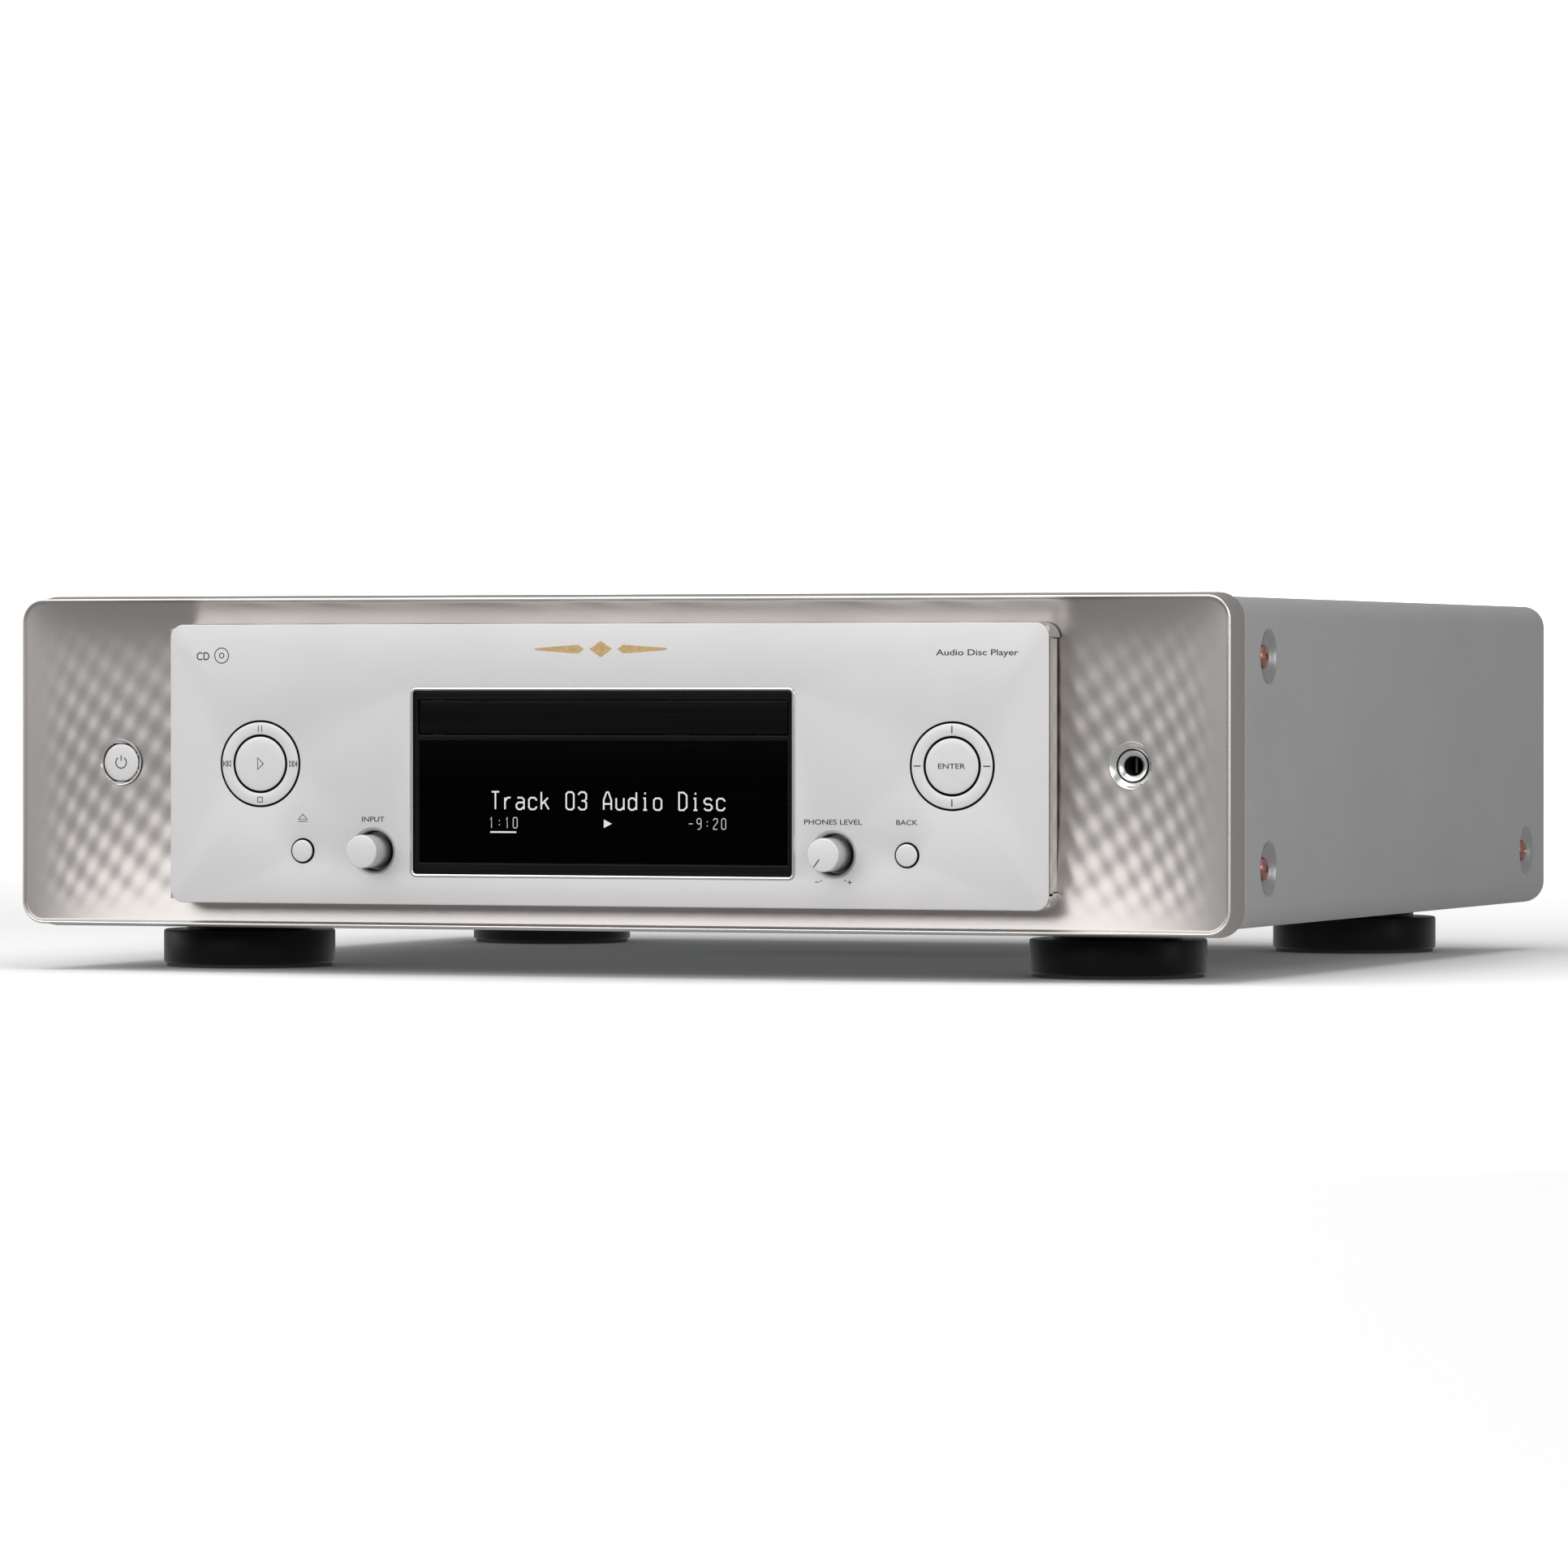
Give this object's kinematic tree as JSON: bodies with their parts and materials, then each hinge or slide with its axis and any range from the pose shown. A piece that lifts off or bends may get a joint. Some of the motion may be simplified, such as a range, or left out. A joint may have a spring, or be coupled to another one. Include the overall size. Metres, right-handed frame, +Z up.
{
  "type": "compact disc player",
  "caption": "Full-width silver disc player with a raised centre plate, black window and tray loader, ring controls, knobs, dimpled wings, grey cover and round feet.",
  "frame": {"origin": "middle of the footprint on the surface it stands on", "axes": "+X to the right seen from the front, front faces -Y, +Z up"},
  "size_m": [0.442, 0.424, 0.13],
  "materials": {
    "champagne_panel": "metallic satin with soft dimples",
    "silver_plate": "fine bead-blasted anodised",
    "silver_control": "satin",
    "bright_trim": "polished",
    "black_window": "gloss",
    "clear_guide": "frosted",
    "cover_paint": "satin powder coat",
    "rear_paint": "fine texture",
    "zinc_steel": "zinc plated",
    "copper_screw": "copper plated",
    "black_foot": "gloss",
    "rubber": "matt",
    "black_plastic": "fine texture",
    "white_plastic": "self-lubricating moulded",
    "circuit_board": "solder resist",
    "component_can": "sleeved",
    "copper_shield": "copper plated",
    "winding": "varnished tape",
    "gold_plate": "gold plated",
    "bright_steel": "ground"
  },
  "bodies": {
    "chassis": {"front_panel": "champagne_panel", "fascia_plate": "silver_plate", "light_guides": "clear_guide", "window_trim": "bright_trim", "window_surround": "black_window", "display_window": "black_window", "display_module": "circuit_board", "front_bezels": "bright_trim", "headphone_jack": "black_plastic", "control_carriers": "black_plastic", "control_boards": "circuit_board", "tact_switches": "black_plastic", "rotary_controls": "zinc_steel", "front_subframe": "zinc_steel", "base_plate": "zinc_steel", "top_cover": "cover_paint", "cover_screws": "copper_screw", "rear_panel": "rear_paint", "feet": "black_foot", "foot_pads": "rubber", "chassis_screws": "copper_screw", "rca_sockets": "gold_plate", "signal_sockets": "black_plastic", "data_sockets": "bright_steel", "aerial_sockets": "gold_plate", "power_inlet": "black_plastic", "circuit_boards": "circuit_board", "board_components": "component_can", "board_standoffs": "bright_steel", "shield_cover": "copper_shield", "transformer": "winding", "loader_frame": "black_plastic", "loader_brackets": "zinc_steel", "clamp_bridge": "zinc_steel", "loading_motor": "bright_steel", "drive_belt": "rubber"},
    "tray": {"disc_tray": "black_plastic", "tray_door": "black_window"},
    "drive_gear": {"drive_gear": "white_plastic"},
    "pulley_gear": {"pulley_gear": "white_plastic"},
    "motor_pulley": {"motor_pulley": "white_plastic"},
    "cam_slider": {"cam_slider": "white_plastic"},
    "traverse": {"traverse_plate": "zinc_steel", "guide_rods": "bright_steel", "traverse_motors": "bright_steel"},
    "pickup": {"pickup_sled": "black_plastic"},
    "sled_gear": {"sled_gear": "white_plastic"},
    "turntable": {"turntable": "black_plastic"},
    "clamper": {"clamper": "white_plastic"},
    "transport_gimbal": {"transport_gimbal": "black_plastic"},
    "transport_ring": {"transport_ring": "silver_control"},
    "play_button": {"play_button": "silver_control"},
    "nav_gimbal": {"nav_gimbal": "black_plastic"},
    "nav_ring": {"nav_ring": "silver_control"},
    "enter_button": {"enter_button": "silver_control"},
    "eject_button": {"eject_button": "silver_control"},
    "back_button": {"back_button": "silver_control"},
    "power_button": {"power_button": "silver_control"},
    "input_knob": {"input_knob": "silver_control"},
    "level_knob": {"level_knob": "silver_control"}
  },
  "joints": [
    {"name": "tray_slide", "type": "slide", "parent": "chassis", "child": "tray", "axis": [0, -1, 0], "range_m": [0, 0.142]},
    {"name": "drive_gear_turn", "type": "hinge", "parent": "chassis", "child": "drive_gear", "pos_m": [-0.0475, -0.158, 0.08], "axis": [0, 0, 1], "range_deg": [-1, 680]},
    {"name": "pulley_gear_turn", "type": "hinge", "parent": "chassis", "child": "pulley_gear", "pos_m": [-0.0267, -0.158, 0.078], "axis": [0, 0, 1], "range_deg": [-1530, 1]},
    {"name": "motor_pulley_turn", "type": "hinge", "parent": "chassis", "child": "motor_pulley", "pos_m": [0.012, -0.158, 0.077], "axis": [0, 0, 1], "range_deg": [-4625, 1]},
    {"name": "traverse_tilt", "type": "hinge", "parent": "chassis", "child": "traverse", "pos_m": [0, 0.01, 0.0785], "axis": [1, 0, 0], "range_deg": [0, 2.2]},
    {"name": "cam_slide", "type": "slide", "parent": "chassis", "child": "cam_slider", "axis": [1, 0, 0], "range_m": [-0.0005, 0.0305]},
    {"name": "pickup_slide", "type": "slide", "parent": "traverse", "child": "pickup", "axis": [0, 1, 0], "range_m": [0, 0.035]},
    {"name": "sled_gear_turn", "type": "hinge", "parent": "traverse", "child": "sled_gear", "pos_m": [0.0365, -0.062, 0.0815], "axis": [0, 0, 1], "range_deg": [-375, 1]},
    {"name": "turntable_spin", "type": "hinge", "parent": "traverse", "child": "turntable", "pos_m": [0, -0.121, 0.09], "axis": [0, 0, 1], "continuous": true},
    {"name": "clamper_spin", "type": "hinge", "parent": "chassis", "child": "clamper", "pos_m": [0, -0.121, 0.098], "axis": [0, 0, 1], "continuous": true},
    {"name": "transport_rock_up_down", "type": "hinge", "parent": "chassis", "child": "transport_gimbal", "pos_m": [-0.1257, -0.1952, 0.07205], "axis": [1, 0, 0], "range_deg": [-1.5, 1.5], "stiffness_Nm_per_rad": 0.3},
    {"name": "transport_rock_left_right", "type": "hinge", "parent": "transport_gimbal", "child": "transport_ring", "pos_m": [-0.1257, -0.1952, 0.07205], "axis": [0, 0, 1], "range_deg": [-1.5, 1.5], "stiffness_Nm_per_rad": 0.3},
    {"name": "nav_rock_up_down", "type": "hinge", "parent": "chassis", "child": "nav_gimbal", "pos_m": [0.1257, -0.1952, 0.07205], "axis": [1, 0, 0], "range_deg": [-1.5, 1.5], "stiffness_Nm_per_rad": 0.3},
    {"name": "nav_rock_left_right", "type": "hinge", "parent": "nav_gimbal", "child": "nav_ring", "pos_m": [0.1257, -0.1952, 0.07205], "axis": [0, 0, 1], "range_deg": [-1.5, 1.5], "stiffness_Nm_per_rad": 0.3},
    {"name": "play_button_press", "type": "slide", "parent": "chassis", "child": "play_button", "axis": [0, 1, 0], "range_m": [0, 0.001], "stiffness_N_per_m": 400},
    {"name": "enter_button_press", "type": "slide", "parent": "chassis", "child": "enter_button", "axis": [0, 1, 0], "range_m": [0, 0.001], "stiffness_N_per_m": 400},
    {"name": "eject_button_press", "type": "slide", "parent": "chassis", "child": "eject_button", "axis": [0, 1, 0], "range_m": [0, 0.001], "stiffness_N_per_m": 400},
    {"name": "back_button_press", "type": "slide", "parent": "chassis", "child": "back_button", "axis": [0, 1, 0], "range_m": [0, 0.001], "stiffness_N_per_m": 400},
    {"name": "power_button_press", "type": "slide", "parent": "chassis", "child": "power_button", "axis": [0, 1, 0], "range_m": [0, 0.001], "stiffness_N_per_m": 400},
    {"name": "input_knob_turn", "type": "hinge", "parent": "chassis", "child": "input_knob", "pos_m": [-0.0836, -0.2015, 0.04235], "axis": [0, 1, 0], "continuous": true},
    {"name": "level_knob_turn", "type": "hinge", "parent": "chassis", "child": "level_knob", "pos_m": [0.0836, -0.2015, 0.04235], "axis": [0, 1, 0], "range_deg": [-8, 292]}
  ],
  "couplings": [
    {"joint": "drive_gear_turn", "follows": "tray_slide", "rad_per_m": 83.333},
    {"joint": "pulley_gear_turn", "follows": "tray_slide", "rad_per_m": -187.5},
    {"joint": "motor_pulley_turn", "follows": "tray_slide", "rad_per_m": -567.93},
    {"joint": "cam_slide", "follows": "traverse_tilt", "m_per_rad": 0.78131},
    {"joint": "sled_gear_turn", "follows": "pickup_slide", "rad_per_m": -185.19},
    {"joint": "clamper_spin", "follows": "turntable_spin", "ratio": 1}
  ]
}
